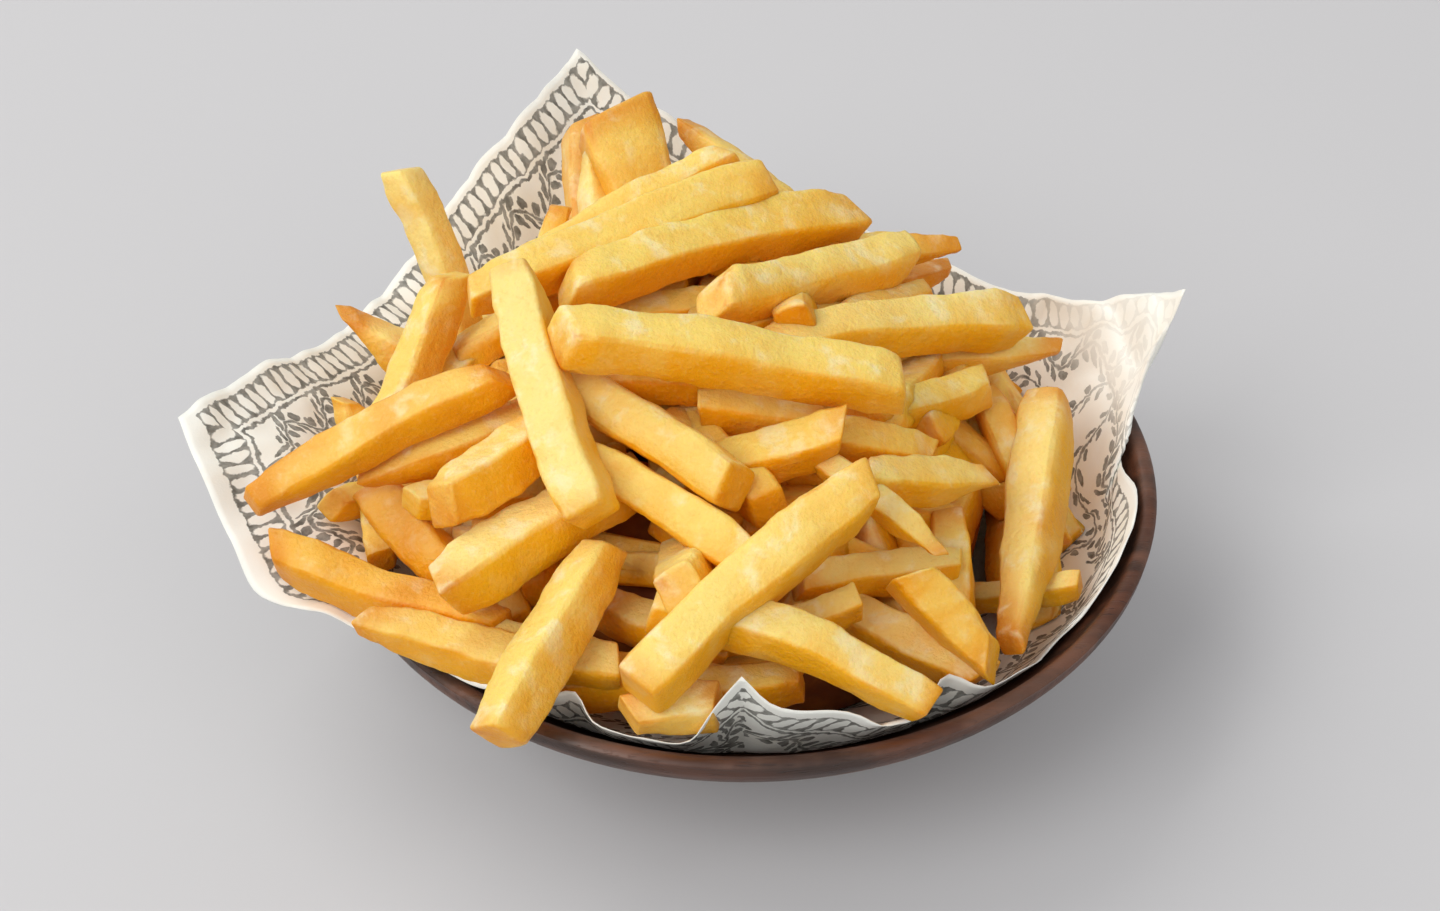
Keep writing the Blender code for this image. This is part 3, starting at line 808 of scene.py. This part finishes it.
def shape_fry(bar, number, tail, tip, width, roll, own):
    """A copy of the bar, shaped and laid from tail to tip, as an object of its own."""
    draw = random.Random(FRY_SEED + number)
    tail, tip = Vector(tail), Vector(tip)
    length = (tip - tail).length
    deep = own.get("deep", draw.uniform(0.84, 1.0))
    bow = own.get("bow", draw.uniform(-0.04, 0.04)) * length
    bow_side = own.get("sweep", draw.uniform(-0.03, 0.03)) * length
    arch = own.get("arch", 0.0)
    # How brown the fry is drawn; on fries that lie in shade it is partly painted shade.
    fried = own.get("fried", draw.uniform(-0.05, 0.12))
    twist = math.radians(draw.uniform(-14, 14))
    corner = 4.0 + 9.0 * draw.random() ** 1.5
    lean = [(draw.uniform(-0.4, 0.4), draw.uniform(-0.4, 0.4)) for _ in range(2)]
    lean = own.get("lean", lean)
    slim = own.get("slim", (draw.uniform(0.90, 0.99), draw.uniform(0.84, 0.96)))
    blunt = [draw.uniform(0.06, 0.20) for _ in range(2)]
    points = (own.get("point_tail", 0.0), own.get("point_tip", 0.0))
    seat = Vector((number * 7.3, number * 3.1, 0.0))
    spots = [(draw.uniform(0, math.tau), draw.uniform(-0.92, 0.92) * length / 2, draw.uniform(1.2, 2.6),
              draw.uniform(0.3, 0.7)) for _ in range(own.get("blisters", 2))]
    turn = (tip - tail).to_track_quat("Z", "X").to_matrix().to_4x4()
    middle = (tail + tip) / 2 + Vector((0, 0, rim_height))
    lay = Matrix.Translation(middle) @ turn @ Matrix.Rotation(math.radians(roll), 4, "Z")

    mesh = bar.data.copy()
    own_hue = draw.random()
    # Each fry's own painted light; below nought it is painted shade.
    pale = own.get("pale", 0.0)
    browns_and_shade, depth_shade = [], []
    for vertex in mesh.vertices:
        x, y, z = vertex.co
        share = z / BAR_HALF
        end = int(z > 0)
        far = share * length / 2
        from_end = (1 - abs(share)) * length / 2 / width
        square = rounded_square(x, y, corner)
        edge = smoothstep(0.98, 0.88, rounded_square(x, y, 7.0)) * 2 * max(abs(x), abs(y))
        hollow = 1 - 0.07 * (1 - edge) * (0.6 + noise.noise(seat + Vector((x, y, far / 12.0))))
        near = smoothstep(0.9, 0.0, from_end)
        half = width * (slim[0] + (slim[1] - slim[0]) * (share + 1) / 2) * square * hollow
        half *= 1 - blunt[end] * near ** 2
        half *= 1 + 0.16 * noise.noise(seat + Vector((0, 0, far / 19.0)))
        pointed = points[end] * smoothstep(0.15, 1.0, abs(share))
        across_x = x * half * (1 - pointed) + 0.35 * pointed * width
        across_y = y * half * deep * (1 - 0.5 * pointed)
        across_x += width * 0.07 * noise.noise(seat + Vector((5, 0, far / 15.0)))
        across_y += width * 0.07 * noise.noise(seat + Vector((0, 5, far / 15.0)))
        far += near * width * (x * lean[end][0] + y * lean[end][1])
        place = Vector((across_x, across_y, far))
        swell = 0.34 * noise.noise(seat + place / 4.6) + 0.18 * noise.noise(seat + place / 2.0)
        swell *= 1 + edge
        for angle, spot, size, rise in spots:
            away = (far - spot) ** 2 + (width * (x - 0.5 * math.cos(angle))) ** 2
            away += (width * (y - 0.5 * math.sin(angle))) ** 2
            swell += rise * math.exp(-away / size ** 2)
        out = Vector((x, y, 0.0)).normalized() if abs(x) + abs(y) > 0.05 else Vector()
        place += out * swell
        angle = twist * share
        bent = 1 - share ** 2
        spun = Vector((place.x * math.cos(angle) - place.y * math.sin(angle) + bow * bent,
                       place.x * math.sin(angle) + place.y * math.cos(angle) + bow_side * bent, place.z))
        laid = lay @ spun
        laid.z += arch * bent
        laid.z = max(laid.z, paper_floor(math.hypot(laid.x, laid.y)))
        vertex.co = laid * MM
        # Painted shade: the deeper a point lies under the mound's surface, the browner and darker it is
        # drawn.
        depth_shade.append(smoothstep(0.0, 10.0, mound_height(laid.x, laid.y) - laid.z + rim_height))
        patch = noise.noise(seat + place / 8.0)
        darkening = 0.60 * edge * (0.55 + patch) + 0.35 * near ** 2 + 0.35 * patch + 0.5 * pointed
        browns_and_shade.append(min(1.0, max(0.0, darkening + 0.08 + fried)) + depth_shade[-1])
    mesh.update()
    toast_and_shade = mesh.attributes.new("toast_and_shade", "FLOAT", "POINT")
    painted_lit_side = mesh.attributes.new("painted_lit_side", "FLOAT", "POINT")
    hue = mesh.attributes.new("hue", "FLOAT", "POINT")
    for vertex, darkening, depth in zip(mesh.vertices, browns_and_shade, depth_shade):
        # Painted light: faces turned to the key light are drawn paler, less so deep in the heap.
        lit_share = smoothstep(0.0, 0.95, vertex.normal.dot(LIT_SIDE)) * (1 - 0.85 * depth) + pale
        toast_and_shade.data[vertex.index].value = darkening
        painted_lit_side.data[vertex.index].value = lit_share
        hue.data[vertex.index].value = own_hue
    fry = bpy.data.objects.new(f"fry_{number:03d}", mesh)
    bpy.context.scene.collection.objects.link(fry)
    return fry


# What single fries have of their own. slim is the thickness at the tail and the tip, deep the depth over the
# width, bow, sweep and arch the bends to the sides and upward, point_tail and point_tip how sharp an end is,
# lean how askew it is cut and blisters their number. The browning key says how brown a fry is drawn, on
# fries that lie in shade partly as painted shade, and the painted light key how much paler it is drawn as
# painted light; below nought it is drawn darker, as painted shade.
OWN_SHAPES = {
    0: {"slim": (0.95, 1.0), "blisters": 3, "bow": 0.0, "fried": -0.1, "pale": 0.1},
    1: {"slim": (1.04, 0.97), "deep": 1.0, "bow": 0.01, "sweep": 0.0, "fried": -0.1, "pale": 0.1},
    2: {"slim": (0.85, 1.02)},
    4: {"slim": (0.97, 1.0)},
    5: {"slim": (1.0, 1.02), "deep": 0.95, "fried": -0.15, "pale": 0.15},
    8: {"slim": (0.95, 1.06), "lean": ((0.0, 0.0), (0.1, 0.1))},
    9: {"point_tip": 0.75, "fried": 0.1, "pale": 0.3},
    11: {"slim": (0.45, 0.92), "deep": 1.8, "fried": 0.15, "bow": 0.0, "sweep": 0.0},
    12: {"bow": 0.08, "fried": 0.4},
    13: {"slim": (1.1, 0.9), "point_tip": 0.6, "fried": -0.1},
    15: {"point_tail": 0.5, "point_tip": 0.4, "fried": 0.25},
    16: {"point_tip": 0.75},
    17: {"point_tip": 0.6, "fried": 0.3},
    18: {"slim": (0.75, 0.98), "bow": 0.05, "fried": -0.15, "pale": 0.6},
    19: {"pale": 0.3},
    20: {"slim": (1.0, 1.1), "point_tip": 0.8, "fried": 0.15, "pale": 0.2},
    21: {"slim": (0.80, 0.76), "bow": 0.02, "fried": 0.3, "point_tail": 0.4, "pale": -0.3},
    22: {"point_tail": 0.5, "fried": 0.15},
    25: {"arch": 2.0, "fried": 0.35, "pale": -0.5},
    27: {"pale": -0.1},
    29: {"blisters": 7, "fried": 0.35, "pale": -0.35},
    30: {"blisters": 9, "fried": 0.1},
    31: {"point_tail": 0.5, "blisters": 3, "fried": 0.2},
    32: {"slim": (0.86, 0.98), "lean": ((0.2, 0.0), (0.1, 0.1)), "fried": 0.0, "pale": 0.3},
    33: {"slim": (0.95, 1.06), "lean": ((0.0, 0.0), (-0.2, 0.1)), "blisters": 2, "fried": -0.1},
    34: {"slim": (0.9, 1.08), "lean": ((0.0, 0.0), (0.9, 0.3)), "fried": -0.1},
    35: {"fried": 0.15, "pale": -0.3},
    36: {"fried": 0.1, "pale": -0.1},
    40: {"slim": (1.02, 1.0), "deep": 0.95, "bow": 0.01},
    41: {"fried": 0.25},
    43: {"pale": 0.4, "bow": 0.0},
    44: {"blisters": 3, "arch": 3.0, "fried": 0.1},
    45: {"fried": 0.3},
    47: {"point_tip": 0.75},
    48: {"point_tip": 0.8},
    50: {"fried": 0.2},
    51: {"slim": (1.06, 0.80), "point_tip": 0.6, "blisters": 5, "fried": 0.2},
    55: {"fried": 0.2, "point_tip": 0.3},
    57: {"fried": 0.2},
}
fries = []
for number, fry in enumerate(FRIES + back):
    fries.append(shape_fry(fine_bar, number, *fry, OWN_SHAPES.get(number, {})))
for number, fry in enumerate(below):
    # The fries below are drawn darker and browner as painted shade.
    fries.append(shape_fry(plain_bar, FIRST_BELOW + number, *fry, {"pale": -0.25, "fried": 0.1}))
for bar in (fine_bar, plain_bar):
    bpy.data.objects.remove(bar, do_unlink=True)

bpy.ops.object.select_all(action="DESELECT")
for fry in fries:
    fry.select_set(True)
bpy.context.view_layer.objects.active = fries[0]
bpy.ops.object.join()
heap = bpy.context.object
heap.name = "fries"
bpy.ops.object.shade_smooth()
triangles = sum(len(face.vertices) - 2 for face in heap.data.polygons)
print("fries:", len(fries), "in one piece of", triangles, "triangles")

# %% [markdown]
# ## Fried potato
# Faces turned to the key light are painted pale, with clouds of starch on them, and the faces turned away
# a deeper gold: a painted light and shade. A fry is deeper along its edges and ends, where it browned first.
# Light goes a little way in, so the gaps glow orange, and far down in the heap the colour is painted dark
# brown as painted shade. The colour is mixed from the toast with its painted shade and the painted light
# that each point keeps, the fry's own tint, the clouds of starch and fine specks. The shine is weak, as the
# oil has soaked in.

# %% Potato finish
potato, tree, shader = new_material("fried_potato", 0.46)
place = object_place(tree)
toast_and_shade = add_node(tree, "ShaderNodeAttribute", attribute_name="toast_and_shade")
hue = add_node(tree, "ShaderNodeAttribute", attribute_name="hue")
painted_lit_side = add_node(tree, "ShaderNodeAttribute", attribute_name="painted_lit_side")
blotch = use_group(tree, cloudy, Scale=95.0, Low=0.35, High=0.7, Vector=place)
grain = noise_node(tree, place, 1100.0, 3.0, 0.65)
# A lit and a shaded copy of the fry's gold: the pale one is painted light on faces turned to the key light.
shade_side_gold = blend_colours(tree, hue.outputs["Fac"], srgb(0xffba14), srgb(0xf8aa0c))
lit_side_pale = blend_colours(tree, hue.outputs["Fac"], srgb(0xffe48e), srgb(0xfcd86a))
patchy = math_node(tree, "MULTIPLY_ADD", blotch.outputs[0], 0.35, -0.15)
light_and_patches = math_node(tree, "ADD", painted_lit_side.outputs["Fac"], patchy)
light_and_patches.node.use_clamp = True
base = blend_colours(tree, light_and_patches, shade_side_gold, lit_side_pale)
# The toast holds the real browning and the painted shade of depth in the heap.
browned_and_shaded = step_between(tree, toast_and_shade.outputs["Fac"], 0.15, 0.95)
base = blend_colours(tree, math_node(tree, "MULTIPLY", browned_and_shaded, 0.85), base, srgb(0xe08a0c))
# Pale clouds of starch are drawn only where the painted light falls.
starchy = use_group(tree, cloudy, Scale=170.0, Low=0.5, High=0.68, Vector=place)
starch_where_lit = math_node(tree, "MULTIPLY", starchy.outputs[0], light_and_patches)
starch_share = math_node(tree, "MULTIPLY", starch_where_lit, 0.55)
base = blend_colours(tree, starch_share, base, srgb(0xfff3c6))
light_specks = math_node(tree, "MULTIPLY", step_between(tree, grain, 0.5, 0.72), 0.12)
dark_specks = math_node(tree, "MULTIPLY", step_between(tree, grain, 0.5, 0.28), 0.14)
base = blend_colours(tree, light_specks, base, srgb(0xffeaa6))
base = blend_colours(tree, dark_specks, base, srgb(0xe09a1e))
# Deepest in the heap the colour goes to dark brown: painted shade.
shaded = step_between(tree, toast_and_shade.outputs["Fac"], 0.75, 1.7)
base = blend_colours(tree, math_node(tree, "MULTIPLY", shaded, 0.75), base, srgb(0xa04a04))
join(tree, shader, "Base Color", base)
shader.inputs["Subsurface Weight"].default_value = 0.30
shader.inputs["Subsurface Radius"].default_value = (1.0, 0.6, 0.12)
shader.inputs["Subsurface Scale"].default_value = 0.0032
shader.inputs["Specular IOR Level"].default_value = 0.28
join(tree, shader, "Roughness", math_node(tree, "MULTIPLY_ADD", grain, 0.25, 0.27))
bump = add_node(tree, "ShaderNodeBump")
join(tree, bump, "Strength", 0.55)
join(tree, bump, "Distance", 0.0006)
pimples = noise_node(tree, place, 420.0, 2.0, 0.5)
join(tree, bump, "Height", math_node(tree, "ADD", pimples, grain))
join(tree, shader, "Normal", bump.outputs[0])
heap.data.materials.append(potato)
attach(heap, "root")
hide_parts("fries_heap")

# %% [markdown]
# ## Core
# Far down between the fries nothing is seen but deep brown shade. A plain low mound fills it, well below the
# fries that show, coloured deep brown as painted shade. It starts as a sphere whose top is drawn to the
# mound's shape and whose underside lies on the paper.

# %% Core shape and finish
CORE_SINK = 12.0
CORE_RADIUS = 50.0
CORE_CLEARANCE = 3.2
bpy.ops.object.select_all(action="DESELECT")
bpy.ops.mesh.primitive_uv_sphere_add(segments=72, ring_count=36, radius=1.0)
core = bpy.context.object
core.name = "heap_core"
for vertex in core.data.vertices:
    angle = math.atan2(vertex.co.y, vertex.co.x)
    share = math.asin(min(math.hypot(vertex.co.x, vertex.co.y), 1.0)) / (math.pi / 2)
    edge = MOUND_PEAK.to_2d() + mound_edge(angle, CORE_RADIUS) * Vector((math.cos(angle), math.sin(angle)))
    if vertex.co.z > -0.01:
        spot = MOUND_PEAK.to_2d().lerp(edge, share)
        lumps = 2.5 * noise.noise(Vector((spot.x, spot.y, 3.0)) / 9.0)
        rise = mound_height(spot.x, spot.y) - CORE_SINK * (1 - 0.3 * share) + lumps
        rise = max(rise, wall_rise(spot.length) + CORE_CLEARANCE)
    else:
        spot = edge * share
        rise = wall_rise(spot.length) + CORE_CLEARANCE * 0.7
    vertex.co = Vector((spot.x, spot.y, rise + rim_height)) * MM
bpy.ops.object.shade_smooth()
# Two deep browns, as painted shade.
core_finish, tree, shader = new_material("shaded_potato", 0.6)
lumps = use_group(tree, cloudy, Scale=110.0, Low=0.35, High=0.65, Vector=object_place(tree))
join(tree, shader, "Base Color",
     blend_colours(tree, lumps.outputs[0], srgb(0x7c3a08), srgb(0xa85c10)))
core.data.materials.append(core_finish)
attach(core, "root")
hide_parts("fries_heap")
